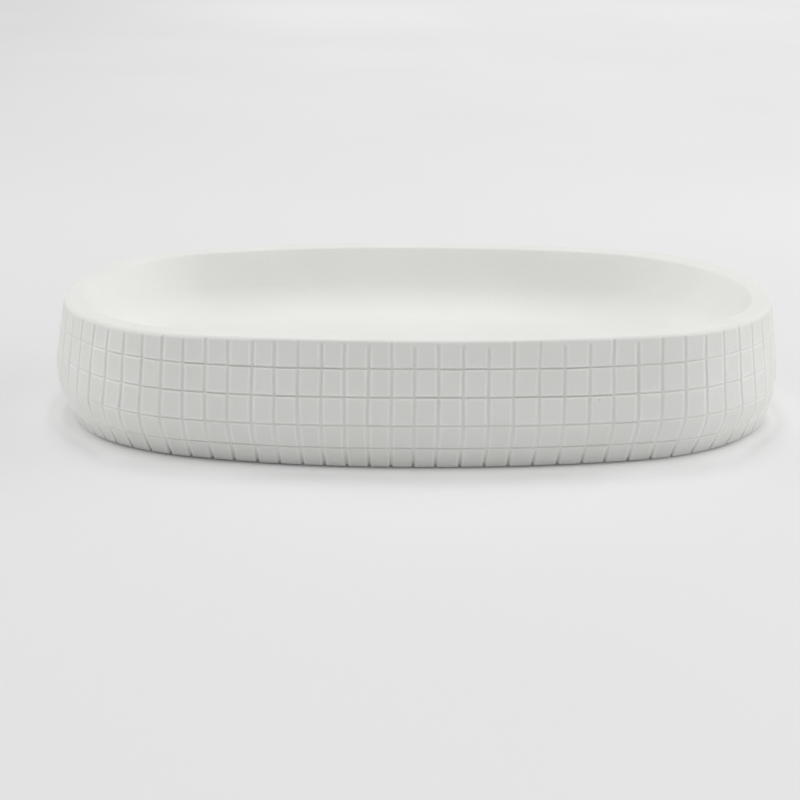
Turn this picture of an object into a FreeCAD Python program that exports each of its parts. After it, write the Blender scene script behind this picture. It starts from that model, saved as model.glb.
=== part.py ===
# An oval soap dish, cast in one piece from matt resin. A mosaic of small tiles is cut around its wall,
# and it has a flat rim, a smooth shallow bowl and four soft feet glued into pockets in the underside.
# Millimetres. +X runs along the length, -Y is the front and +Z is up. The origin is on the table, under
# the middle of the dish.
import FreeCAD, Part
import math
import os

# Overall size, over the belly of the wall and from the table to the rim
length = 140.0
width = 78.0
height = 25.0

# Plan: each quarter is a front arc, a tighter corner arc and an end arc, tangent to each other
front_turn_deg = 11.6
end_turn_deg = 3.3
end_to_corner_radius_share = 1.9

# Wall section: an upper wall and a lower skirt that lean in from a round belly
belly_height = 10.4
belly_radius = 9.0
wall_lean_deg = 8.5
skirt_lean_deg = 27.5
base_edge_radius = 0.8

# Rim and bowl
rim_width = 3.9
rim_outer_radius = 0.5
rim_inner_radius = 0.7
bowl_depth = 12.0
bowl_wall_lean_deg = 25.0
bowl_floor_radius = 9.0

# Mosaic: rows are spaced down the wall, and two runs of columns meet at a seam near the front middle
# and at another near the rear middle
row_pitch = 5.17
row_groove_count = 4
row_groove_width = 0.5
row_groove_depth = 0.35
left_column_count = 44
right_column_count = 40
front_seam_offset = 1.75
rear_seam_offset = 1.3
column_groove_width = 0.7
column_groove_depth = 0.3
rim_border = 0.7

# Feet and the adhesive that holds them
foot_diameter = 12.0
foot_thickness = 2.0
foot_edge_radius = 0.4
foot_stand = 0.3
foot_end_setback = 28.0
foot_side_setback = 20.0
pocket_clearance = 0.25
adhesive_thickness = 0.2
adhesive_margin = 0.4

# How far a cutting shape runs past the surface that it cuts
overrun = 1.0

wall_lean = math.radians(wall_lean_deg)
skirt_lean = math.radians(skirt_lean_deg)
bowl_wall_lean = math.radians(bowl_wall_lean_deg)
quarter_turn = math.radians(90.0)
up = FreeCAD.Vector(0, 0, 1)


def plan_arcs():
    """The plan at the belly as (centre, radius, start angle, turn), counter-clockwise from the front arc."""
    front_turn = math.radians(front_turn_deg)
    end_turn = math.radians(end_turn_deg)
    share = end_to_corner_radius_share
    # The two sums that close a quarter from the front middle to the end are solved for two radii
    front_x = math.sin(front_turn)
    front_y = 1 - math.cos(front_turn)
    rest_x = math.cos(end_turn) - math.sin(front_turn) + share * (1 - math.cos(end_turn))
    rest_y = math.cos(front_turn) - math.sin(end_turn) + share * math.sin(end_turn)
    scale = front_x * rest_y - front_y * rest_x
    front_radius = (length / 2 * rest_y - width / 2 * rest_x) / scale
    corner_radius = (width / 2 * front_x - length / 2 * front_y) / scale
    end_radius = share * corner_radius
    front_y0 = front_radius - width / 2
    end_x0 = length / 2 - end_radius
    corner_x0 = (front_radius - corner_radius) * math.sin(front_turn)
    corner_y0 = front_y0 - (front_radius - corner_radius) * math.cos(front_turn)
    corner_turn_deg = 90.0 - front_turn_deg - end_turn_deg
    arcs = []
    for side in (1, -1):
        facing_deg = -90.0 * side
        arcs += [
            ((0, side * front_y0), front_radius, facing_deg - front_turn_deg, 2 * front_turn_deg),
            ((side * corner_x0, side * corner_y0), corner_radius, facing_deg + front_turn_deg,
             corner_turn_deg),
            ((side * end_x0, 0), end_radius, facing_deg + 90.0 - end_turn_deg, 2 * end_turn_deg),
            ((side * corner_x0, -side * corner_y0), corner_radius, facing_deg + 90.0 + end_turn_deg,
             corner_turn_deg),
        ]
    return arcs


def place(arc, angle_deg, inset, z):
    """The point at an angle of a plan arc, inset from the belly, at a height."""
    (x, y), radius, _, _ = arc
    angle = math.radians(angle_deg)
    reach = radius - inset
    return FreeCAD.Vector(x + reach * math.cos(angle), y + reach * math.sin(angle), z)


def plan_face(arcs, inset, z):
    """The level face inside the plan, inset from the belly."""
    edges = []
    for arc in arcs:
        _, _, start, turn = arc
        points = [place(arc, start + turn * along, inset, z) for along in (0, 0.5, 1)]
        edges.append(Part.Arc(*points).toShape())
    return Part.Face(Part.Wire(edges))


# The wall from the rim's outer corner down to the underside, as (inset, height) points
belly_top = (belly_radius * (1 - math.cos(wall_lean)), belly_height + belly_radius * math.sin(wall_lean))
belly_foot = (belly_radius * (1 - math.cos(skirt_lean)), belly_height - belly_radius * math.sin(skirt_lean))
rim_inset = belly_top[0] + (height - belly_top[1]) * math.tan(wall_lean)
skirt_foot_z = foot_stand + base_edge_radius * (1 - math.sin(skirt_lean))
skirt_foot_inset = belly_foot[0] + (belly_foot[1] - skirt_foot_z) * math.tan(skirt_lean)
base_inset = skirt_foot_inset + base_edge_radius * math.cos(skirt_lean)
wall_end = (height - belly_top[1]) / math.cos(wall_lean)
belly_end = wall_end + belly_radius * (wall_lean + skirt_lean)
skirt_end = belly_end + (belly_foot[1] - skirt_foot_z) / math.cos(skirt_lean)
base_end = skirt_end + base_edge_radius * (quarter_turn - skirt_lean)


def wall_point(down, depth):
    """The (inset, height) point at a distance down the wall from the rim's corner, at a depth under it."""
    if down <= wall_end:
        tilt = wall_lean
        inset = rim_inset - down * math.sin(wall_lean)
        z = height - down * math.cos(wall_lean)
    elif down <= belly_end:
        tilt = wall_lean - (down - wall_end) / belly_radius
        inset = belly_radius * (1 - math.cos(tilt))
        z = belly_height + belly_radius * math.sin(tilt)
    elif down <= skirt_end:
        tilt = -skirt_lean
        inset = belly_foot[0] + (down - belly_end) * math.sin(skirt_lean)
        z = belly_foot[1] - (down - belly_end) * math.cos(skirt_lean)
    else:
        tilt = -skirt_lean - (down - skirt_end) / base_edge_radius
        inset = base_inset - base_edge_radius * math.cos(tilt)
        z = foot_stand + base_edge_radius * (1 + math.sin(tilt))
    return inset + depth * math.cos(tilt), z - depth * math.sin(tilt)


def wall_run(start, end, depth):
    """A stretch of the wall at a depth under it, as lines of two points and arcs of three."""
    ends = [start] + [turn for turn in (wall_end, belly_end, skirt_end) if start < turn < end] + [end]
    run = []
    for first, last in zip(ends, ends[1:]):
        middle = (first + last) / 2
        straight = middle < wall_end or belly_end < middle < skirt_end
        stations = (first, last) if straight else (first, middle, last)
        run.append([wall_point(down, depth) for down in stations])
    return run


def rounded(corner, before, after, radius):
    """A round of a corner as an arc of three points, with unit directions towards its two neighbours."""
    opening = math.acos(before[0] * after[0] + before[1] * after[1]) / 2
    reach = radius / math.tan(opening)
    bisector = (before[0] + after[0], before[1] + after[1])
    size = math.hypot(*bisector)
    middle_reach = radius / math.sin(opening) - radius
    start = (corner[0] + reach * before[0], corner[1] + reach * before[1])
    middle = (corner[0] + middle_reach * bisector[0] / size, corner[1] + middle_reach * bisector[1] / size)
    end = (corner[0] + reach * after[0], corner[1] + reach * after[1])
    return [start, middle, end]


def section():
    """The section from the edge of the bowl's floor, over the rim and down the wall to the underside."""
    bowl_floor_z = height - bowl_depth
    inner_corner = (rim_inset + rim_width, height)
    floor_corner = (inner_corner[0] + bowl_depth * math.tan(bowl_wall_lean), bowl_floor_z)
    bowl_up = (-math.sin(bowl_wall_lean), math.cos(bowl_wall_lean))
    bowl_down = (-bowl_up[0], -bowl_up[1])
    wall_down = (-math.sin(wall_lean), -math.cos(wall_lean))
    floor_round = rounded(floor_corner, (1, 0), bowl_up, bowl_floor_radius)
    inner_round = rounded(inner_corner, bowl_down, (-1, 0), rim_inner_radius)
    outer_round = rounded((rim_inset, height), (1, 0), wall_down, rim_outer_radius)
    bowl = [floor_round, [floor_round[-1], inner_round[0]], inner_round]
    rim = [[inner_round[-1], outer_round[0]], outer_round]
    wall = []
    start = rim_outer_radius * math.tan((quarter_turn - wall_lean) / 2)
    for row in range(1, row_groove_count + 1):
        groove = row * row_pitch
        top = groove - row_groove_width / 2
        foot = groove + row_groove_width / 2
        wall += wall_run(start, top, 0)
        bottom = wall_point(groove, row_groove_depth)
        wall += [[wall_point(top, 0), bottom], [bottom, wall_point(foot, 0)]]
        start = foot
    wall += wall_run(start, base_end, 0)
    return bowl + rim + wall


def casting(arcs):
    """The whole casting before its columns and pockets are cut: the section carried around the plan."""
    profile = section()
    faces = [plan_face(arcs, *profile[0][0]), plan_face(arcs, *profile[-1][-1])]
    for arc in arcs:
        (x, y), _, start, turn = arc
        axis = FreeCAD.Vector(x, y, 0)
        for stretch in profile:
            points = [place(arc, start, inset, z) for inset, z in stretch]
            edge = Part.makeLine(*points) if len(points) == 2 else Part.Arc(*points).toShape()
            faces.append(edge.revolve(axis, up, turn))
    shell = Part.makeShell(faces)
    shell.sewShape()
    solid = Part.makeSolid(shell)
    return solid if solid.Volume > 0 else solid.reversed()


def column_places(arcs):
    """Where the column grooves stand, as (arc, angle), from the front seam both ways to the rear seam."""
    run = sum(radius * math.radians(turn) for _, radius, _, turn in arcs)
    front_middle = arcs[0][1] * math.radians(front_turn_deg)
    seam = front_middle + front_seam_offset
    right_run = run / 2 - front_seam_offset + rear_seam_offset
    left_run = run - right_run
    stations = [seam + right_run * column / right_column_count for column in range(right_column_count)]
    stations += [seam - left_run * column / left_column_count for column in range(1, left_column_count + 1)]
    places = []
    for station in stations:
        along = station % run
        for arc in arcs:
            _, radius, start, turn = arc
            arc_run = radius * math.radians(turn)
            if along <= arc_run:
                places.append((arc, start + math.degrees(along / radius)))
                break
            along -= arc_run
    return places


def column_cutter(arc, angle_deg):
    """A thin blade that cuts one column groove, from under the rim out through the underside."""
    path = wall_run(rim_border, base_end, column_groove_depth)
    first_inset, first_z = path[0][0]
    last_inset, _ = path[-1][-1]
    below = foot_stand - overrun
    path.append([path[-1][-1], (last_inset, below)])
    path.append([(last_inset, below), (-overrun, below)])
    path.append([(-overrun, below), (-overrun, first_z)])
    path.append([(-overrun, first_z), (first_inset, first_z)])
    edges = []
    for stretch in path:
        points = [place(arc, angle_deg, inset, z) for inset, z in stretch]
        edges.append(Part.makeLine(*points) if len(points) == 2 else Part.Arc(*points).toShape())
    angle = math.radians(angle_deg)
    across = FreeCAD.Vector(-math.sin(angle), math.cos(angle), 0)
    face = Part.Face(Part.Wire(edges))
    face.translate(across * (-column_groove_width / 2))
    return face.extrude(across * column_groove_width)


def foot_centres():
    """The four feet by name, as points on the table."""
    x = length / 2 - foot_end_setback
    y = width / 2 - foot_side_setback
    return {
        "front_left": FreeCAD.Vector(-x, -y, 0),
        "front_right": FreeCAD.Vector(x, -y, 0),
        "rear_left": FreeCAD.Vector(-x, y, 0),
        "rear_right": FreeCAD.Vector(x, y, 0),
    }


def dish_body():
    """The casting with its column grooves and foot pockets."""
    arcs = plan_arcs()
    cutters = [column_cutter(arc, angle_deg) for arc, angle_deg in column_places(arcs)]
    pocket_radius = foot_diameter / 2 + pocket_clearance
    pocket_top = foot_thickness + adhesive_thickness
    for centre in foot_centres().values():
        pocket_foot = centre + up * (foot_stand - overrun)
        cutters.append(Part.makeCylinder(pocket_radius, pocket_top - pocket_foot.z, pocket_foot))
    return casting(arcs).cut(cutters)


def foot(centre):
    """A soft disc that stands on the table, with its lower edge rounded."""
    disc = Part.makeCylinder(foot_diameter / 2, foot_thickness, centre)
    lower_edges = [edge for edge in disc.Edges if edge.BoundBox.ZMax < foot_thickness / 2]
    return disc.makeFillet(foot_edge_radius, lower_edges)


def adhesive(centre):
    """The adhesive disc between a foot and the ceiling of its pocket."""
    return Part.makeCylinder(foot_diameter / 2 - adhesive_margin, adhesive_thickness,
                             centre + up * foot_thickness)


def main():
    os.makedirs("parts", exist_ok=True)
    pieces = {"dish_body": dish_body()}
    for corner, centre in foot_centres().items():
        pieces["foot_" + corner] = foot(centre)
        pieces["adhesive_" + corner] = adhesive(centre)
    for name, shape in pieces.items():
        shape.exportStep("parts/" + name + ".step")
        print(name, shape.isValid(), len(shape.Solids), round(shape.Volume, 1), shape.BoundBox)


main()
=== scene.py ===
import math

import bpy
import numpy as np
from mathutils import Matrix, Vector
from mathutils.geometry import delaunay_2d_cdt


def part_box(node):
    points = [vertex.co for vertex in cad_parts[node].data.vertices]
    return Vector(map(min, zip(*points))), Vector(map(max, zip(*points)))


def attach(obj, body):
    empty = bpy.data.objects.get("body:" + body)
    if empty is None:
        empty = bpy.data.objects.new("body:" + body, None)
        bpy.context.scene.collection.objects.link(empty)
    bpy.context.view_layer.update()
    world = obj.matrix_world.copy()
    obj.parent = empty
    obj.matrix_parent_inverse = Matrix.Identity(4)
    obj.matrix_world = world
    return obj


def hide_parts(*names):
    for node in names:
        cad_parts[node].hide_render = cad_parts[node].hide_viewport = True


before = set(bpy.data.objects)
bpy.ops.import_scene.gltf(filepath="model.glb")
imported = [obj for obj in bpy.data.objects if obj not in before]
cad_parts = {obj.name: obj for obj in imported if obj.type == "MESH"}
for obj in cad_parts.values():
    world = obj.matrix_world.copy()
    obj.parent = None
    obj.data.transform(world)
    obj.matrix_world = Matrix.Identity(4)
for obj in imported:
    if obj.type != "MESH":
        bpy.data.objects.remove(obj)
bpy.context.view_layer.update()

corners = ("front_left", "front_right", "rear_left", "rear_right")
quarter_turn = math.pi / 2
handwork_seed = 20
rng = np.random.default_rng(handwork_seed)

# Overall size, from the frame
dish_low, dish_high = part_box("dish_body")
half_length = dish_high.x
half_width = dish_high.y
rim_z = dish_high.z
base_z = dish_low.z

# Plan: each quarter is a front arc, a tighter corner arc and an end arc, tangent to each other
front_turn = math.radians(11.6)
end_turn = math.radians(3.3)
end_to_corner_radius_share = 1.9

# Wall section: an upper wall and a lower skirt that lean in from a round belly
belly_height = 0.0104
belly_radius = 0.009
wall_lean = math.radians(8.5)
skirt_lean = math.radians(27.5)
base_edge_radius = 0.0008

# Rim and bowl: the rim's outer round is small along the front and the rear, and grows to the corners'
# radius between two distances from their middles
rim_width = 0.0039
rim_outer_radius = 0.0005
rim_corner_radius = 0.0010
rim_growth_start = 0.020
rim_growth_end = 0.045
rim_inner_radius = 0.0007
bowl_depth = 0.012
bowl_wall_lean = math.radians(25.0)
bowl_floor_radius = 0.009

# The rim is broader at the rear corners: their place to each side, their reach along the length, how far
# behind the middle they are full, and how much broader they are
rear_corner_x = 0.058
rear_corner_reach = 0.016
rear_corner_y = 0.012
rear_right_breadth = 0.0016
rear_left_breadth = 0.0008

# Mosaic: the rows lie down the wall, and two runs of columns meet at a front and a rear seam
row_pitch = 0.00517
row_groove_count = 4
row_lines = row_pitch * np.arange(1, row_groove_count + 1)
right_column_count = 40
left_column_count = 44
front_seam_offset = 0.00175
rear_seam_offset = 0.0013

# Groove sections: the half width of the floor and of the mouth, the depth, and the small burr beside it
row_floor = 0.00003
row_mouth = 0.00026
row_depth = 0.00034
row_burr = 0.00003
row_burr_place = 0.00038
row_burr_width = 0.00014
column_floor = 0.00006
column_mouth = 0.00042
column_depth = 0.00020
column_burr = 0.00003
column_burr_place = 0.00056
column_burr_width = 0.00016

# Columns run out softly a little under the rim's corner, at uneven heights
column_top = 0.0008
column_top_spread = 0.0006
column_top_fade = 0.0006

# Shares of the columns' depth at the rim, at each row line and at the base, and of each row line's depth
column_depth_shares = np.array([0.95, 1.00, 1.15, 0.85, 0.12, 2.80])
row_depth_shares = np.array([1.02, 1.04, 0.78, 1.22])

# Shares of those depths at the ends: each row line's, the columns' at the left end and at the right end.
# They hold up to the near distance from the middle of an end and are over at the far one
row_end_shares = np.array([0.15, 0.15, 0.30, 0.50])
left_column_end_share = 1.2
right_column_end_share = 0.75
left_end_near = 0.013
left_end_far = 0.046
right_end_near = 0.021
right_end_far = 0.061

# Uneven courses, each as a place along the belly from the front middle, a reach each way and a distance:
# columns aside from their places, columns aside at the foot of the skirt, and how far the rim, the knee
# and the foot stand in from even ones
column_drifts = [(-0.050, 0.040, 0.00018)]
column_splays = [(-0.059, 0.010, -0.0025), (-0.022, 0.018, 0.0004), (0.066, 0.012, 0.0029)]
rim_eases = [(0.0, 0.060, -0.0003), (-0.101, 0.012, 0.0008)]
knee_eases = [(-0.083, 0.015, 0.0002), (0.083, 0.018, 0.0002)]
foot_eases = [
    (-0.080, 0.012, -0.0006),
    (-0.050, 0.018, 0.0014),
    (0.052, 0.014, 0.0005),
    (0.083, 0.013, -0.0022),
]

# Distances down the wall: the middle of the knee, its reach each way, and where the foot begins
knee_ease_place = 0.0160
knee_ease_reach = 0.0040
foot_ease_start = 0.0155

# Row lines below their even places: everywhere, in a waver, and in a sag of each line around the corners
row_drop = 0.00004
row_waver = 0.00012
row_waver_run = 0.066
row_sag_place = 0.062
row_sag_reach = 0.018
row_sags = np.array([0.00003, 0.00015, 0.00015, 0.00045])

# The rim lies a little low, and more so toward the left end, between two places along the length. The
# wall under it follows, less and less down to a distance
rim_dip = 0.0002
rim_left_dip = 0.0005
rim_left_dip_start = -0.010
rim_left_dip_end = -0.065
rim_dip_reach = 0.0075

# Unevenness of hand-cut tiles: standard deviations, and the least and greatest shares of depth and burr
column_wander = 0.00006
row_wander = 0.00002
tile_raise = 0.000015
tile_tilt = math.radians(0.35)
groove_spread_shares = (0.75, 1.1)
burr_spread_shares = (0.3, 1.2)

# Places of the mesh lines beside a groove
column_offsets = np.array([0.00013, 0.00026, 0.00040, 0.00056, 0.00080])
row_offsets = np.array([0.00008, 0.00017, 0.00026, 0.00038, 0.00058])

# Points of the mesh along each stretch of the section and across a tile, both ends included
bowl_turn_points = 9
bowl_wall_points = 4
rim_inner_points = 6
rim_flat_points = 3
rim_outer_points = 13
tile_points = 3
skirt_points = 5
base_edge_points = 5


def rise(low, high, value):
    """A straight rise from 0 at low to 1 at high."""
    return np.clip((value - low) / (high - low), 0, 1)


def smooth_step(low, high, value):
    """A smooth rise from 0 at low to 1 at high."""
    share = rise(low, high, value)
    return share * share * (3 - 2 * share)


def bump(place, width, value):
    """A round bump of height 1 at a place."""
    return np.exp(-(((value - place) / width) ** 2))


def plan_arcs():
    """The belly outline as arrays of centres, radii, start angles and turns, from the front arc."""
    share = end_to_corner_radius_share
    front_x = math.sin(front_turn)
    front_y = 1 - math.cos(front_turn)
    rest_x = math.cos(end_turn) - math.sin(front_turn) + share * (1 - math.cos(end_turn))
    rest_y = math.cos(front_turn) - math.sin(end_turn) + share * math.sin(end_turn)
    scale = front_x * rest_y - front_y * rest_x
    front_radius = (half_length * rest_y - half_width * rest_x) / scale
    corner_radius = (half_width * front_x - half_length * front_y) / scale
    end_radius = share * corner_radius
    front_y0 = front_radius - half_width
    corner_x0 = (front_radius - corner_radius) * math.sin(front_turn)
    corner_y0 = front_y0 - (front_radius - corner_radius) * math.cos(front_turn)
    end_x0 = half_length - end_radius
    corner_turn = quarter_turn - front_turn - end_turn
    rows = []
    for side in (1, -1):
        facing = -quarter_turn * side
        end_facing = facing + quarter_turn
        rows += [
            (0, side * front_y0, front_radius, facing - front_turn, 2 * front_turn),
            (side * corner_x0, side * corner_y0, corner_radius, facing + front_turn, corner_turn),
            (side * end_x0, 0, end_radius, end_facing - end_turn, 2 * end_turn),
            (side * corner_x0, -side * corner_y0, corner_radius, end_facing + end_turn, corner_turn),
        ]
    table = np.array(rows)
    return table[:, :2], table[:, 2], table[:, 3], table[:, 4]


arc_centres, arc_radii, arc_starts, arc_turns = plan_arcs()
arc_runs = arc_radii * arc_turns
arc_ends = np.cumsum(arc_runs)
plan_run = arc_ends[-1]


def plan_points(along):
    """Points of the belly outline and its outward normals, at distances along it from the front middle."""
    place = (along + arc_runs[0] / 2) % plan_run
    index = np.minimum(np.searchsorted(arc_ends, place, side="right"), len(arc_ends) - 1)
    angle = arc_starts[index] + (place - (arc_ends - arc_runs)[index]) / arc_radii[index]
    normal = np.stack([np.cos(angle), np.sin(angle)], axis=-1)
    return arc_centres[index] + arc_radii[index][..., None] * normal, normal


# The wall from the rim's outer corner down to the underside
belly_top = (belly_radius * (1 - math.cos(wall_lean)), belly_height + belly_radius * math.sin(wall_lean))
belly_foot = (belly_radius * (1 - math.cos(skirt_lean)), belly_height - belly_radius * math.sin(skirt_lean))
rim_inset = belly_top[0] + (rim_z - belly_top[1]) * math.tan(wall_lean)
skirt_foot_z = base_z + base_edge_radius * (1 - math.sin(skirt_lean))
skirt_foot_inset = belly_foot[0] + (belly_foot[1] - skirt_foot_z) * math.tan(skirt_lean)
base_inset = skirt_foot_inset + base_edge_radius * math.cos(skirt_lean)
wall_end = (rim_z - belly_top[1]) / math.cos(wall_lean)
belly_end = wall_end + belly_radius * (wall_lean + skirt_lean)
skirt_end = belly_end + (belly_foot[1] - skirt_foot_z) / math.cos(skirt_lean)
base_end = skirt_end + base_edge_radius * (quarter_turn - skirt_lean)
rim_flat_start = rim_inner_radius * math.tan((quarter_turn - bowl_wall_lean) / 2) - rim_width


def wall_points(down, depth, edge):
    """Insets and heights at distances down the wall from the rim's corner, or in along the rim where
    negative, at depths under the surface. The corner is rounded with the radii in edge."""
    reach = edge * math.tan((quarter_turn - wall_lean) / 2)
    stretches = [down <= -reach, down <= reach, down <= wall_end, down <= belly_end, down <= skirt_end]
    tilt = np.select(stretches, [
        np.full_like(down, quarter_turn),
        wall_lean + (quarter_turn - wall_lean) * (1 - down / reach) / 2,
        np.full_like(down, wall_lean),
        wall_lean - (down - wall_end) / belly_radius,
        np.full_like(down, -skirt_lean),
    ], -skirt_lean - (down - skirt_end) / base_edge_radius)
    inset = np.select(stretches, [
        rim_inset - down,
        rim_inset + reach - edge * np.cos(tilt),
        rim_inset - down * math.sin(wall_lean),
        belly_radius * (1 - np.cos(tilt)),
        belly_foot[0] + (down - belly_end) * math.sin(skirt_lean),
    ], base_inset - base_edge_radius * np.cos(tilt))
    z = np.select(stretches, [
        np.full_like(down, rim_z),
        rim_z - edge * (1 - np.sin(tilt)),
        rim_z - down * math.cos(wall_lean),
        belly_height + belly_radius * np.sin(tilt),
        belly_foot[1] - (down - belly_end) * math.cos(skirt_lean),
    ], base_z + base_edge_radius * (1 + np.sin(tilt)))
    return inset + depth * np.cos(tilt), z - depth * np.sin(tilt)


def centred(along):
    """Distances along the belly from the front middle, negative to the left of it."""
    return (along + plan_run / 2) % plan_run - plan_run / 2


def course(bumps, along):
    """The sum of an uneven course's bumps at distances along the belly."""
    return sum(amount * bump(place, reach, centred(along)) for place, reach, amount in bumps)


def end_shares(along):
    """How close places are to the middle of the left and of the right end, from 0 to 1."""
    place = centred(along)
    from_end = np.abs(np.abs(place) - plan_run / 4)
    left = np.where(place < 0, 1 - smooth_step(left_end_near, left_end_far, from_end), 0)
    right = np.where(place > 0, 1 - smooth_step(right_end_near, right_end_far, from_end), 0)
    return left, right


def rim_radius(along):
    """The radius of the rim's outer round, small along the front and the rear and larger elsewhere."""
    place = np.abs(centred(along))
    from_middle = np.minimum(place, plan_run / 2 - place)
    growth = smooth_step(rim_growth_start, rim_growth_end, from_middle)
    return rim_outer_radius + (rim_corner_radius - rim_outer_radius) * growth


def rim_drop(along):
    """How far the rim lies below its even height."""
    point, _ = plan_points(along)
    return rim_dip + rim_left_dip * smooth_step(-rim_left_dip_start, -rim_left_dip_end, -point[..., 0])


def bowl_ease(along):
    """How much further in the bowl lies at the rear corners, where the rim is broader."""
    point, _ = plan_points(along)
    right = bump(rear_corner_x, rear_corner_reach, point[..., 0]) * rear_right_breadth
    left = bump(-rear_corner_x, rear_corner_reach, point[..., 0]) * rear_left_breadth
    return (right + left) * smooth_step(0, rear_corner_y, point[..., 1])


def rounded(corner, before, after, radius, count):
    """Points of the round of a corner, from the side of one neighbour to the other's."""
    before = np.array(before)
    after = np.array(after)
    opening = math.acos(before @ after) / 2
    bisector = (before + after) / np.linalg.norm(before + after)
    centre = np.array(corner) + bisector * radius / math.sin(opening)
    first = np.array(corner) + before * radius / math.tan(opening) - centre
    last = np.array(corner) + after * radius / math.tan(opening) - centre
    turn = math.pi - 2 * opening
    shares = np.linspace(0, 1, count)[:, None]
    return centre + (np.sin((1 - shares) * turn) * first + np.sin(shares * turn) * last) / math.sin(turn)


def bowl_section():
    """(inset, height) points from the edge of the bowl's floor up its wall to the rim."""
    inner_corner = (rim_inset + rim_width, rim_z)
    floor_corner = (inner_corner[0] + bowl_depth * math.tan(bowl_wall_lean), rim_z - bowl_depth)
    bowl_up = (-math.sin(bowl_wall_lean), math.cos(bowl_wall_lean))
    bowl_down = (-bowl_up[0], -bowl_up[1])
    floor_round = rounded(floor_corner, (1, 0), bowl_up, bowl_floor_radius, bowl_turn_points)
    inner_round = rounded(inner_corner, bowl_down, (-1, 0), rim_inner_radius, rim_inner_points)
    bowl_wall = np.linspace(floor_round[-1], inner_round[0], bowl_wall_points)[1:-1]
    return np.concatenate([floor_round, bowl_wall, inner_round[:-1]])


def column_cells():
    """Where each column groove stands along the belly, and the pitch of the tiles to its right."""
    right_run = plan_run / 2 - front_seam_offset + rear_seam_offset
    left_run = plan_run - right_run
    pitches = np.concatenate([
        np.full(right_column_count, right_run / right_column_count),
        np.full(left_column_count, left_run / left_column_count),
    ])
    return front_seam_offset + np.cumsum(pitches) - pitches, pitches


def cell_places(pitches):
    """The mesh lines across every tile: their column and their distance from its left groove."""
    columns = []
    places = []
    for column, pitch in enumerate(pitches):
        middle = np.linspace(column_offsets[-1], pitch - column_offsets[-1], tile_points)[1:-1]
        across = np.concatenate([[0], column_offsets, middle, pitch - column_offsets[::-1]])
        columns.append(np.full(len(across), column))
        places.append(across)
    return np.concatenate(columns), np.concatenate(places)


def wall_stations():
    """Distances of the mesh's rings over the rim and down the wall, close at the edges and the grooves."""
    top = column_top + column_top_spread + column_top_fade / 2
    stations = [
        np.linspace(rim_flat_start, -rim_corner_radius, rim_flat_points)[:-1],
        np.linspace(-rim_corner_radius, top, rim_outer_points),
    ]
    for line in row_lines:
        stations += [
            np.linspace(top, line - row_offsets[-1], tile_points)[1:-1],
            line - row_offsets[::-1],
            [line],
            line + row_offsets,
        ]
        top = line + row_offsets[-1]
    stations.append(np.linspace(top, skirt_end, skirt_points)[1:-1])
    stations.append(np.linspace(skirt_end, base_end, base_edge_points))
    return np.concatenate(stations)


def row_course(along):
    """How far each row line, one row of the array for each, runs below its even place."""
    place = centred(along)
    waver = row_waver * (1 - np.cos(2 * math.pi * place / row_waver_run))
    return row_drop + waver + row_sags[:, None] * bump(row_sag_place, row_sag_reach, np.abs(place))


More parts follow.
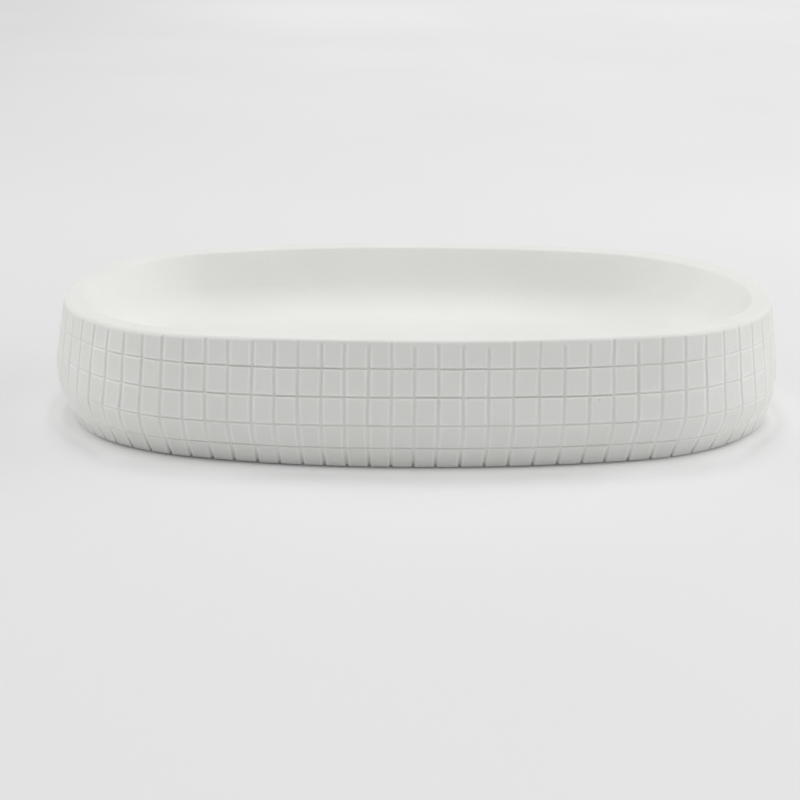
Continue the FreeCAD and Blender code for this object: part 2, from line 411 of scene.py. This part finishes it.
class Mosaic:
    """The tiled wall as a grid of vertices. A row of an array is a ring of the mesh, and a column of it is
    one of the lines down the wall."""

    def __init__(self, stations):
        self.stations = stations
        self.starts, self.pitches = column_cells()
        self.count = len(self.starts)
        self.cell, self.across = cell_places(self.pitches)
        self.share = self.across / self.pitches[self.cell]
        self.following = (self.cell + 1) % self.count
        self.nearest_column = np.where(self.share < 0.5, self.cell, self.following)
        self.column_gap = np.minimum(self.across, self.pitches[self.cell] - self.across)
        self.lines = np.concatenate([[0], row_lines, [base_end]])
        self.line_count = len(self.lines)
        self.row = np.clip(np.searchsorted(self.lines, stations, side="right") - 1, 0, row_groove_count)
        self.nearest_line = np.clip(np.rint(stations / row_pitch).astype(int), 1, row_groove_count)
        self.row_gap = np.abs(stations - self.lines[self.nearest_line])[:, None]

        # How much each ring takes of values that are given at the lines
        below = rise(self.lines[self.row], self.lines[self.row + 1], stations)
        ring = np.arange(len(stations))
        self.weights = np.zeros((len(stations), self.line_count))
        self.weights[ring, self.row] = 1 - below
        self.weights[ring, self.row + 1] = below

    def courses(self):
        """Distances along the belly and down the wall, on lines that wander a little from their places."""
        column_shift = rng.normal(0, column_wander, (self.count, self.line_count))
        column_shift += rng.normal(0, column_wander, (self.count, 1))
        shifts = self.weights @ column_shift.T
        even = self.starts[self.cell] + self.across
        along = even + shifts[:, self.cell] * (1 - self.share) + shifts[:, self.following] * self.share
        down_skirt = rise(wall_end, base_end, self.stations)[:, None]
        along += course(column_drifts, even) + course(column_splays, even) * down_skirt
        row_shift = rng.normal(0, row_wander, (self.line_count, self.count, 2))
        row_shift[[0, -1]] = 0
        row_line = row_shift[:, self.cell, 0] * (1 - self.share) + row_shift[:, self.cell, 1] * self.share
        row_line[1:-1] += row_course(even)
        return along, self.stations[:, None] + self.weights @ row_line

    def columns(self):
        """The columns' sections, from 0 beside them to 1 in their floors, how deep they are from tile to
        tile, and how far they have begun under the rim."""
        left, right = end_shares(self.starts)
        growth = 1 + (left_column_end_share - 1) * left + (right_column_end_share - 1) * right
        strength = rng.uniform(*groove_spread_shares, (self.count, self.line_count)) * column_depth_shares
        strength *= growth[:, None]
        tops = column_top + column_top_spread * rng.uniform(-1, 1, self.count)[self.nearest_column]
        begun = smooth_step(tops - column_top_fade / 2, tops + column_top_fade / 2, self.stations[:, None])
        section = (1 - smooth_step(column_floor, column_mouth, self.column_gap)) * begun
        return section, (self.weights @ strength.T)[:, self.nearest_column], begun

    def rows(self):
        """The row lines' sections, from 0 beside them to 1 in their floors, and how deep they are from
        tile to tile."""
        left, right = end_shares(self.starts)
        fade = 1 - (1 - row_end_shares[:, None]) * (left + right)
        strength = rng.uniform(*groove_spread_shares, (row_groove_count, self.count))
        strength = strength * row_depth_shares[:, None] * fade
        section = 1 - smooth_step(row_floor, row_mouth, self.row_gap)
        return section, strength[self.nearest_line - 1][:, self.cell]

    def burrs(self, columns, rows, begun):
        """How high the burrs beside the columns and beside the row lines are, as shares of even ones."""
        column_strength = rng.uniform(*burr_spread_shares, (self.count, self.line_count))
        row_strength = rng.uniform(*burr_spread_shares, (row_groove_count, self.count))
        beside_columns = bump(column_burr_place, column_burr_width, self.column_gap) * begun * (1 - rows)
        beside_rows = bump(row_burr_place, row_burr_width, self.row_gap) * (1 - columns)
        column_burrs = beside_columns * (self.weights @ column_strength.T)[:, self.nearest_column]
        row_burrs = beside_rows * row_strength[self.nearest_line - 1][:, self.cell]
        return column_burrs, row_burrs

    def leans(self):
        """How far the tiles lie under the even wall, where each stands or leans a little differently."""
        shape = (self.line_count - 1, self.count)
        raises = rng.normal(0, tile_raise, shape)
        leans_across = rng.normal(0, tile_tilt, shape)
        leans_down = rng.normal(0, tile_tilt, shape)
        tile_across = self.across - self.pitches[self.cell] / 2
        tile_down = (self.stations - (self.lines[self.row] + self.lines[self.row + 1]) / 2)[:, None]
        lean = raises[self.row][:, self.cell] + leans_across[self.row][:, self.cell] * tile_across
        lean += leans_down[self.row][:, self.cell] * tile_down
        fade = smooth_step(0, column_top, self.stations)
        fade *= 1 - smooth_step(belly_end, skirt_end, self.stations)
        return lean * fade[:, None]

    def surface(self):
        """Distances along the belly, insets and heights of the vertices, and marks for the dust and painted
        shade of the grooves and the painted highlight of the burrs: about 1 in a groove and about -1 on a
        burr."""
        along, down = self.courses()
        columns, column_strength, begun = self.columns()
        rows, row_strength = self.rows()
        column_burrs, row_burrs = self.burrs(columns, rows, begun)
        depth = column_depth * columns * column_strength
        depth += row_depth * rows * row_strength * (1 - columns)
        depth -= column_burr * column_burrs + row_burr * row_burrs
        depth += self.leans()
        inset, z = wall_points(down, depth, rim_radius(along))

        # The slow waver of the rim, the knee and the foot
        under_rim = 1 - smooth_step(0, wall_end, self.stations)
        at_knee = bump(knee_ease_place, knee_ease_reach, self.stations)
        down_foot = rise(foot_ease_start, base_end, self.stations)
        inset += course(rim_eases, along) * under_rim[:, None]
        inset += course(knee_eases, along) * at_knee[:, None]
        inset += course(foot_eases, along) * down_foot[:, None]
        z -= rim_drop(along) * (1 - smooth_step(0, rim_dip_reach, self.stations))[:, None]
        marks = np.maximum(columns * column_strength, rows * row_strength)
        return along, inset, z, marks - np.maximum(column_burrs, row_burrs)


def dish_rings():
    """Rings of points from the bowl's floor over the rim and down the wall, and their marks."""
    stations = wall_stations()
    along, wall_inset, wall_z, wall_marks = Mosaic(stations).surface()
    wall_inset += rise(-rim_corner_radius, rim_flat_start, stations)[:, None] * bowl_ease(along)
    section = bowl_section()
    shape = (len(section), along.shape[1])
    bowl_along = np.broadcast_to(along[0], shape)
    up = rise(section[0, 1], rim_z, section[:, 1:])
    bowl_inset = section[:, :1] + bowl_ease(bowl_along) + course(rim_eases, bowl_along) * up
    bowl_z = section[:, 1:] - rim_drop(bowl_along) * up
    base_along = along[-1:]
    base_ring = base_inset + row_mouth + course(foot_eases, base_along)
    all_along = np.concatenate([bowl_along, along, base_along])
    inset = np.concatenate([bowl_inset, wall_inset, base_ring])
    z = np.concatenate([bowl_z, wall_z, np.full_like(base_along, base_z)])
    marks = np.concatenate([np.zeros(shape), wall_marks, np.zeros_like(base_along)])
    point, normal = plan_points(all_along)
    flat = point - normal * inset[..., None]
    return np.concatenate([flat, z[..., None]], axis=-1), marks


# Flat fills of the mesh: the spacing of their points, and what the triangulation keeps and merges
fill_spacing = 0.004
keep_inside = 1
merge_distance = 1e-8


def filled(loop, holes):
    """Triangles inside a loop of plan points and outside the holes, with the points added between."""
    points = [Vector(p) for p in loop]
    edges = [(i, (i + 1) % len(loop)) for i in range(len(loop))]
    for hole in holes:
        first = len(points)
        points += [Vector(p) for p in hole]
        edges += [(first + i, first + (i + 1) % len(hole)) for i in range(len(hole))]
    reach = np.linalg.norm(loop, axis=1).max()
    for ring in np.arange(1 - fill_spacing / reach, 0, -fill_spacing / reach):
        step = max(1, round(len(loop) * fill_spacing / (2 * math.pi * reach * ring)))
        for p in loop[::step] * ring:
            if all(np.linalg.norm(hole - p, axis=1).min() > fill_spacing / 2 for hole in holes):
                points.append(Vector(p))
    found, _, faces, origins, _, _ = delaunay_2d_cdt(points, edges, [], keep_inside, merge_distance)
    centres = [hole.mean(axis=0) for hole in holes]
    radii = [np.linalg.norm(hole - centre, axis=1).max() for hole, centre in zip(holes, centres)]
    kept = []
    for face in faces:
        middle = np.mean([found[i] for i in face], axis=0)
        if all(np.linalg.norm(middle - centre) > radius for centre, radius in zip(centres, radii)):
            kept.append([origins[i][0] for i in face])
    return [tuple(p) for p in points], kept


def add_fill(points, faces, first, ring, holes, faces_up):
    """Fills a flat ring of points, whose first one has a number, and returns the number of the first point
    of the holes."""
    around = len(ring)
    flat, triangles = filled(ring[:, :2], holes)
    start = len(points)
    points += [(x, y, ring[0, 2]) for x, y in flat[around:]]
    for triangle in triangles:
        numbers = [first + i if i < around else start + i - around for i in triangle]
        faces.append(numbers if faces_up else numbers[::-1])
    return start


def ring_faces(before, after, count):
    """Faces between two closed rings of points, given by the numbers of their first points."""
    following = [(i + 1) % count for i in range(count)]
    return [(before + i, after + i, after + j, before + j) for i, j in enumerate(following)]


# Pockets in the underside, around the feet of the frame
pocket_clearance = 0.00025
pocket_edge_radius = 0.0003
pocket_sides = 64
pocket_edge_points = 4


def pocket_places():
    """The centre and the radius of the pocket around each foot, and the height of its ceiling."""
    places = []
    for corner in corners:
        low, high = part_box("foot_" + corner)
        _, film_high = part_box("adhesive_" + corner)
        places.append(((low + high) / 2, (high.x - low.x) / 2 + pocket_clearance, film_high.z))
    return places


def pocket_circle(centre, radius):
    """A circle of plan points around a foot."""
    turn = np.linspace(0, 2 * math.pi, pocket_sides, endpoint=False)
    return np.stack([centre.x + radius * np.cos(turn), centre.y + radius * np.sin(turn)], axis=-1)


def pocket_section(radius, ceiling):
    """(radius, height) points after a pocket's mouth, round its edge and up its wall to its ceiling."""
    section = []
    for turn in np.linspace(0, quarter_turn, pocket_edge_points)[1:]:
        reach = radius + pocket_edge_radius * (1 - math.sin(turn))
        section.append((reach, base_z + pocket_edge_radius * (1 - math.cos(turn))))
    return section + [(radius, ceiling)]


def add_piece(name, points, faces, material):
    """A smooth piece that rides on the part's one body."""
    mesh = bpy.data.meshes.new(name)
    mesh.from_pydata(points, [], faces)
    mesh.validate()
    mesh.update()
    mesh.polygons.foreach_set("use_smooth", np.ones(len(mesh.polygons), bool))
    mesh.materials.append(material)
    piece = bpy.data.objects.new(name, mesh)
    bpy.context.scene.collection.objects.link(piece)
    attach(piece, "root")
    return piece


sharp_angle = math.radians(60)


def make_dish(material):
    """The whole casting as one closed mesh: the rings, the bowl's floor, the underside and its pockets."""
    rings, marks = dish_rings()
    ring_count, around = marks.shape
    last = (ring_count - 1) * around
    points = [tuple(p) for p in rings.reshape(-1, 3)]
    faces = []
    for first in range(0, last, around):
        faces += ring_faces(first, first + around, around)
    add_fill(points, faces, 0, rings[0], [], True)
    pockets = pocket_places()
    mouths = [pocket_circle(centre, radius + pocket_edge_radius) for centre, radius, _ in pockets]
    before = add_fill(points, faces, last, rings[-1], mouths, False)
    for number, (centre, radius, ceiling) in enumerate(pockets):
        ring = before + number * pocket_sides
        for reach, z in pocket_section(radius, ceiling):
            following = len(points)
            points += [(x, y, z) for x, y in pocket_circle(centre, reach)]
            faces += ring_faces(following, ring, pocket_sides)
            ring = following
        faces.append([ring + i for i in reversed(range(pocket_sides))])
    dish = add_piece("dish", points, faces, material)
    dish.data.set_sharp_from_angle(angle=sharp_angle)
    # Marks for the dust and painted shade in the grooves and the painted highlight on the burrs
    values = np.zeros(len(points), np.float32)
    values[:marks.size] = marks.reshape(-1)
    attribute = dish.data.attributes.new("groove", "FLOAT", "POINT")
    attribute.data.foreach_set("value", values)
    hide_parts("dish_body")


# Noise: its detail and roughness where it is plain and where it is fine, and the range that it mostly has
plain_detail = 2.0
fine_detail = 3.0
plain_roughness = 0.5
fine_roughness = 0.6
noise_range = (0.3, 0.7)

# The share of a pit's radius that is its floor
pit_floor_share = 0.4

white = (1, 1, 1, 1)


class Nodes:
    """The node tree of a material or a world, with short calls for the nodes that are used often."""

    def __init__(self, owner, shader):
        owner.use_nodes = True
        self.owner = owner
        self.tree = owner.node_tree
        self.shader = self.tree.nodes[shader]

    def add(self, kind, **settings):
        """A new node with settings."""
        node = self.tree.nodes.new(kind)
        for key, value in settings.items():
            setattr(node, key, value)
        return node

    def set(self, socket, value):
        """Sets a socket to a value, or links another socket to it."""
        if isinstance(value, bpy.types.NodeSocket):
            self.tree.links.new(value, socket)
        else:
            socket.default_value = value

    def feed(self, node, values):
        """Sets or links sockets of a node by their names."""
        for name, value in values.items():
            self.set(node.inputs[name], value)

    def place(self):
        """Where a point of the piece lies, in metres."""
        return self.add("ShaderNodeTexCoord").outputs["Object"]

    def noise(self, size, detail=plain_detail, roughness=plain_roughness):
        """Cloudy noise from 0 to 1 with features of about a size."""
        node = self.add("ShaderNodeTexNoise")
        self.feed(node, {"Vector": self.place(), "Scale": 1 / size})
        self.feed(node, {"Detail": detail, "Roughness": roughness})
        return node.outputs["Fac"]

    def map(self, value, low, high, to_low, to_high):
        """A value's range mapped smoothly to another."""
        node = self.add("ShaderNodeMapRange", interpolation_type="SMOOTHSTEP")
        for socket, setting in zip(node.inputs, (value, low, high, to_low, to_high)):
            self.set(socket, setting)
        return node.outputs["Result"]

    def spread(self, noise, to_low, to_high):
        """A noise's usual range mapped to another."""
        return self.map(noise, *noise_range, to_low, to_high)

    def math(self, operation, *values):
        """The result of an operation on values."""
        node = self.add("ShaderNodeMath", operation=operation)
        for socket, value in zip(node.inputs, values):
            self.set(socket, value)
        return node.outputs["Value"]

    def plus(self, total, *others):
        """The sum of values."""
        for other in others:
            total = self.math("ADD", total, other)
        return total

    def times(self, product, *others):
        """The product of values."""
        for other in others:
            product = self.math("MULTIPLY", product, other)
        return product

    def mix(self, share, first, second):
        """One colour turning into another by a share."""
        node = self.add("ShaderNodeMix", data_type="RGBA")
        self.feed(node, {"Factor": share, "A": first, "B": second})
        return node.outputs["Result"]

    def pits(self, spacing, radius, keep_share):
        """Small round pits, 1 inside, in a share of the cells of a spacing."""
        node = self.add("ShaderNodeTexVoronoi", feature="F1")
        self.feed(node, {"Vector": self.place(), "Scale": 1 / spacing})
        edge = radius / spacing
        inside = self.map(node.outputs["Distance"], pit_floor_share * edge, edge, 1.0, 0.0)
        colour = self.add("ShaderNodeSeparateColor")
        self.feed(colour, {"Color": node.outputs["Color"]})
        return self.times(inside, self.math("LESS_THAN", colour.outputs["Red"], keep_share))

    def bumps(self, height, distance, before=None):
        """A bump of a height in metres, on top of another."""
        node = self.add("ShaderNodeBump")
        self.feed(node, {"Height": height, "Distance": distance})
        if before is not None:
            self.feed(node, {"Normal": before})
        return node.outputs["Normal"]

    def seen(self):
        """1 for rays of the camera, of gloss and of glass, and 0 for those that light a matt surface."""
        path = self.add("ShaderNodeLightPath")
        seen = self.math("MAXIMUM", path.outputs["Is Camera Ray"], path.outputs["Is Glossy Ray"])
        return self.math("MAXIMUM", seen, path.outputs["Is Transmission Ray"])


def new_finish(name):
    """The nodes of a new material."""
    return Nodes(bpy.data.materials.new(name), "Principled BSDF")


# Cast resin: its linear colours, the sizes of its clouds, grain, waves and pin holes, how strongly they
# show, the marks at which grooves and burrs show fully, and the heights of the bumps. The grooves' tone is
# dust and painted shade, the burrs' tone is a painted highlight and the pin holes' tone is painted shade
resin_dark = (0.800, 0.803, 0.774, 1)
resin_light = (0.822, 0.826, 0.800, 1)
resin_grain_tone = (0.770, 0.772, 0.743, 1)
resin_groove_dust_and_shade_tone = (0.62, 0.61, 0.59, 1)
resin_burr_highlight_tone = (0.92, 0.922, 0.902, 1)
resin_hole_shade_tone = (0.40, 0.39, 0.37, 1)
resin_cloud_size = 0.018
resin_grain_size = 0.0006
resin_wave_size = 0.004
resin_hole_spacing = 0.006
resin_hole_radius = 0.00016
resin_hole_keep_share = 0.35
resin_grain_range = (0.35, 0.75)
resin_grain_share = 0.35
resin_groove_dust_and_shade_mark = 2.0
resin_groove_dust_and_shade_share = 0.5
resin_burr_highlight_mark = -1.0
resin_burr_highlight_share = 0.7
resin_hole_shade_share = 0.6
resin_roughness = (0.78, 0.88)
resin_specular = 0.12
resin_wave_height = 0.00004
resin_grain_height = 0.000015
resin_hole_depth = 0.00010


def resin():
    """Matt off-white casting: faint clouds of tone, powdery grain, pin holes darkened as painted shade,
    grooves darkened as dust and painted shade, burrs lightened as painted highlights.
    """
    n = new_finish("cast_resin_finish")
    clouds = n.noise(resin_cloud_size, fine_detail)
    grain = n.noise(resin_grain_size, fine_detail, fine_roughness)
    holes = n.pits(resin_hole_spacing, resin_hole_radius, resin_hole_keep_share)
    mark = n.add("ShaderNodeAttribute", attribute_name="groove").outputs["Fac"]
    tone = n.mix(n.spread(clouds, 0.0, 1.0), resin_dark, resin_light)
    tone = n.mix(n.map(grain, *resin_grain_range, 0.0, resin_grain_share), tone, resin_grain_tone)
    # Dust and painted shade darken the grooves
    tone = n.mix(n.map(mark, 0.0, resin_groove_dust_and_shade_mark, 0.0, resin_groove_dust_and_shade_share), tone, resin_groove_dust_and_shade_tone)
    # Painted highlight lightens the burrs beside the grooves
    tone = n.mix(n.map(mark, resin_burr_highlight_mark, 0.0, resin_burr_highlight_share, 0.0), tone, resin_burr_highlight_tone)
    # Painted shade darkens the pin holes
    tone = n.mix(n.times(holes, resin_hole_shade_share), tone, resin_hole_shade_tone)
    normal = n.bumps(n.noise(resin_wave_size), resin_wave_height)
    normal = n.bumps(grain, resin_grain_height, normal)
    normal = n.bumps(n.times(holes, -1.0), resin_hole_depth, normal)
    roughness = n.spread(clouds, *resin_roughness)
    n.feed(n.shader, {"Base Color": tone, "Roughness": roughness, "Normal": normal})
    n.feed(n.shader, {"Specular IOR Level": resin_specular})
    return n.owner


# Feet: linear colours, the sizes of the cells and of the dust, how strongly they show, and the height of
# the cells
foot_dark = (0.43, 0.43, 0.42, 1)
foot_light = (0.52, 0.52, 0.50, 1)
foot_cell_tone = (0.36, 0.36, 0.35, 1)
foot_cell_size = 0.0005
foot_dust_size = 0.005
foot_cell_range = (0.4, 0.7)
foot_cell_share = 0.5
foot_roughness = (0.75, 0.9)
foot_cell_height = 0.00005


def soft_foot():
    """Soft grey foam-rubber of the feet: fine cells and a dusty, uneven tone."""
    n = new_finish("soft_foot_finish")
    cells = n.noise(foot_cell_size, fine_detail, fine_roughness)
    dust = n.noise(foot_dust_size)
    tone = n.mix(n.spread(dust, 0.0, 1.0), foot_dark, foot_light)
    tone = n.mix(n.map(cells, *foot_cell_range, 0.0, foot_cell_share), tone, foot_cell_tone)
    roughness = n.spread(dust, *foot_roughness)
    normal = n.bumps(cells, foot_cell_height)
    n.feed(n.shader, {"Base Color": tone, "Roughness": roughness, "Normal": normal})
    return n.owner


# Adhesive: linear colours, the sizes of the streaks and bubbles, how strongly they show, and their height
film_dark = (0.66, 0.62, 0.50, 1)
film_light = (0.74, 0.71, 0.60, 1)
film_bubble_tone = (0.80, 0.79, 0.72, 1)
film_streak_size = 0.002
film_bubble_spacing = 0.0012
film_bubble_radius = 0.0003
film_bubble_keep_share = 0.6
film_bubble_share = 0.5
film_roughness = (0.3, 0.45)
film_bubble_height = 0.00003


def adhesive_film():
    """Pale yellowish adhesive: slightly glossy, with small trapped bubbles."""
    n = new_finish("adhesive_film_finish")
    streaks = n.noise(film_streak_size)
    bubbles = n.pits(film_bubble_spacing, film_bubble_radius, film_bubble_keep_share)
    tone = n.mix(n.spread(streaks, 0.0, 1.0), film_dark, film_light)
    tone = n.mix(n.times(bubbles, film_bubble_share), tone, film_bubble_tone)
    roughness = n.spread(streaks, *film_roughness)
    normal = n.bumps(bubbles, film_bubble_height)
    n.feed(n.shader, {"Base Color": tone, "Roughness": roughness, "Normal": normal})
    return n.owner


# Floor: its linear colours, the ranges of x and of y where one turns into another, the distances from the
# dish where the studio ends, and its clouds. The tone lighter toward the right and the far end is painted
# light
floor_half_size = 4.0
floor_left_tone = (0.785, 0.785, 0.787, 1)
floor_right_painted_light_tone = (0.835, 0.835, 0.837, 1)
floor_far_painted_light_tone = (0.90, 0.90, 0.902, 1)
floor_cloud_tone = (0.775, 0.775, 0.777, 1)
floor_beyond_tone = (0.12, 0.12, 0.12, 1)
floor_right_light_range = (-0.10, 0.25)
floor_far_light_range = (0.15, 0.75)
floor_beyond_range = (0.77, 0.93)
floor_cloud_size = 0.12
floor_cloud_share = 0.3
floor_roughness = 0.95
floor_specular = 0.05

# Glow of the far floor: the ranges of y where it grows, with the strengths that they add, the range of x
# where it grows from a share at the left, and the strength beyond the studio
near_glow_range = (0.0, 0.20)
near_glow = 0.06
far_glow_range = (0.20, 0.75)
far_glow = 0.13
left_glow_range = (-0.25, 0.0)
left_glow_share = 0.3
last_glow_range = (0.55, 0.76)
last_glow = 0.07
beyond_glow = 0.58

# Glow of the shade around a rounded outline under the dish: the outline's half sizes and its power, the
# full strength, the strengths at the outline along the sides and at the ends, the range of distance from
# x = 0 between those two, and the distances from the outline where the glow rises and where it falls
shade_half_length = 0.068
shade_half_width = 0.0335
shade_power = 2.4
shade_glow = 0.165
shade_side_glow = 0.05
shade_end_glow = 0.20
shade_end_range = (0.056, 0.066)
shade_rise = (-0.0003, 0.0018)
shade_fall = (0.0023, 0.0082)

# That glow is broader along the wider part of the sides, narrower and fainter at the ends, and stronger on
# the right: ranges of distance from x = 0, or of x on the right, and the shares that count at their ends
shade_wide_range = (0.020, 0.040)
shade_wide_distance_share = 0.65
shade_narrow_range = (0.056, 0.073)
shade_narrow_distance_share = 3.2
shade_faint_range = (0.061, 0.070)
shade_faint_share = 0.8
shade_right_range = (0.030, 0.055)
shade_right_share = 1.15


def far_floor_glow(n, across, away, beyond):
    """The strength of the glow of the far floor."""
    near = n.map(away, *near_glow_range, 0.0, near_glow)
    far = n.map(away, *far_glow_range, 0.0, far_glow)
    last = n.map(away, *last_glow_range, 0.0, last_glow)
    even = n.times(n.plus(near, far), n.map(across, *left_glow_range, left_glow_share, 1.0))
    return n.plus(even, last, n.times(beyond, beyond_glow))


def shade_glow_near_dish(n, across, wide, deep, radius):
    """The strength of the glow in the shade close to the dish."""
    long_part = n.math("POWER", n.math("DIVIDE", wide, shade_half_length), shade_power)
    cross_part = n.math("POWER", n.math("DIVIDE", deep, shade_half_width), shade_power)
    outline = n.math("POWER", n.plus(long_part, cross_part), -1 / shade_power)
    gap = n.times(
        n.times(radius, n.math("SUBTRACT", 1.0, outline)),
        n.map(wide, *shade_wide_range, 1.0, shade_wide_distance_share),
        n.map(wide, *shade_narrow_range, 1.0, shade_narrow_distance_share),
    )
    edge_glow = n.map(wide, *shade_end_range, shade_side_glow, shade_end_glow)
    rising = n.map(gap, *shade_rise, edge_glow, shade_glow)
    falling = n.map(gap, *shade_fall, 0.0, -shade_glow)
    return n.times(
        n.plus(rising, falling),
        n.map(across, *shade_right_range, 1.0, shade_right_share),
        n.map(wide, *shade_faint_range, 1.0, shade_faint_share),
    )


def floor_finish():
    """A pale seamless studio floor, its tone lighter toward the right and the far end as painted light. Its
    far parts, and the shade close to the dish, glow where they are seen, and that glow doesn't light matt
    surfaces."""
    n = new_finish("floor_finish")
    split = n.add("ShaderNodeSeparateXYZ")
    n.feed(split, {"Vector": n.place()})
    across = split.outputs["X"]
    away = split.outputs["Y"]
    wide = n.math("ABSOLUTE", across)
    deep = n.math("ABSOLUTE", away)
    radius = n.math("SQRT", n.plus(n.times(wide, wide), n.times(deep, deep)))
    beyond = n.map(radius, *floor_beyond_range, 0.0, 1.0)
    # Painted light: the floor's tone grows lighter toward the right and the far end
    tone = n.mix(n.map(across, *floor_right_light_range, 0.0, 1.0), floor_left_tone, floor_right_painted_light_tone)
    tone = n.mix(n.map(away, *floor_far_light_range, 0.0, 1.0), tone, floor_far_painted_light_tone)
    tone = n.mix(n.spread(n.noise(floor_cloud_size), 0.0, floor_cloud_share), tone, floor_cloud_tone)
    tone = n.mix(beyond, tone, floor_beyond_tone)
    far = far_floor_glow(n, across, away, beyond)
    close = shade_glow_near_dish(n, across, wide, deep, radius)
    glow = n.times(n.seen(), n.plus(far, close))
    n.feed(n.shader, {"Base Color": tone, "Roughness": floor_roughness})
    n.feed(n.shader, {"Specular IOR Level": floor_specular})
    n.feed(n.shader, {"Emission Color": white, "Emission Strength": glow})
    return n.owner


def make_floor():
    """The floor that the dish stands on, out to beyond the view."""
    half = floor_half_size
    points = [(-half, -half, 0), (half, -half, 0), (half, half, 0), (-half, half, 0)]
    mesh = bpy.data.meshes.new("floor")
    mesh.from_pydata(points, [], [(0, 1, 2, 3)])
    mesh.materials.append(floor_finish())
    floor = bpy.data.objects.new("floor", mesh)
    bpy.context.scene.collection.objects.link(floor)


# Light: the name of each square panel, its place, its width and its power, and the level of the world
# as it lights the dish and as it is seen
lamps = [
    ("overhead", (0.0, 0.1, 1.1), 1.2, 1.3),
    ("high", (0.0, 0.15, 1.1), 0.4, 3.1),
    ("front_high", (0.0, -0.35, 1.1), 0.5, 2.8),
    ("right", (1.1, 0.2, 0.5), 0.9, 5.0),
    ("left", (-1.1, 0.2, 0.5), 0.9, 4.3),
    ("right_low", (1.0, -0.25, 0.3), 0.7, 2.0),
    ("left_low", (-1.0, -0.25, 0.3), 0.7, 1.35),
    ("front_low", (0.0, -1.0, 0.25), 0.7, 1.05),
]
fill_level = 0.16
background_level = 0.80


def make_lights():
    """Soft panels around the dish that face it, an even fill and a pale background."""
    for name, place, width, power in lamps:
        light = bpy.data.lights.new(name, "AREA")
        light.shape = "SQUARE"
        light.size = width
        light.energy = power
        panel = bpy.data.objects.new(name, light)
        panel.location = place
        panel.rotation_euler = (-Vector(place)).to_track_quat("-Z", "Y").to_euler()
        bpy.context.scene.collection.objects.link(panel)
    n = Nodes(bpy.data.worlds.new("studio"), "Background")
    level = n.map(n.seen(), 0.0, 1.0, fill_level, background_level)
    n.feed(n.shader, {"Color": white, "Strength": level})
    bpy.context.scene.world = n.owner


# Camera: where it looks, how far away it stands, its turn, its height above the horizon, its roll, and its
# lens and sensor in millimetres
camera_target = Vector((-0.00328, 0, 0.00168))
camera_distance = 0.36711
camera_turn = math.radians(-2.377)
camera_elevation = math.radians(18.169)
camera_roll = math.radians(0.860)
camera_lens = 83.515
camera_sensor = 36.0
camera_clip_start = 0.01


def make_camera():
    """A camera that looks at the dish from the front and a little above."""
    back = Vector((
        math.sin(camera_turn) * math.cos(camera_elevation),
        -math.cos(camera_turn) * math.cos(camera_elevation),
        math.sin(camera_elevation),
    ))
    right = Vector((0, 0, 1)).cross(back).normalized()
    up = back.cross(right)
    rolled_right = math.cos(camera_roll) * right + math.sin(camera_roll) * up
    rolled_up = math.cos(camera_roll) * up - math.sin(camera_roll) * right
    data = bpy.data.cameras.new("camera")
    data.sensor_width = camera_sensor
    data.lens = camera_lens
    data.clip_start = camera_clip_start
    camera = bpy.data.objects.new("camera", data)
    turn = Matrix((rolled_right, rolled_up, back)).transposed()
    camera.matrix_world = Matrix.Translation(camera_target + back * camera_distance) @ turn.to_4x4()
    bpy.context.scene.collection.objects.link(camera)
    bpy.context.scene.camera = camera


make_dish(resin())
foot_material = soft_foot()
film_material = adhesive_film()
for corner in corners:
    for node, material in (("foot_" + corner, foot_material), ("adhesive_" + corner, film_material)):
        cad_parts[node].data.materials.clear()
        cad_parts[node].data.materials.append(material)
make_floor()
make_lights()
make_camera()
bpy.context.scene.view_settings.view_transform = "Standard"
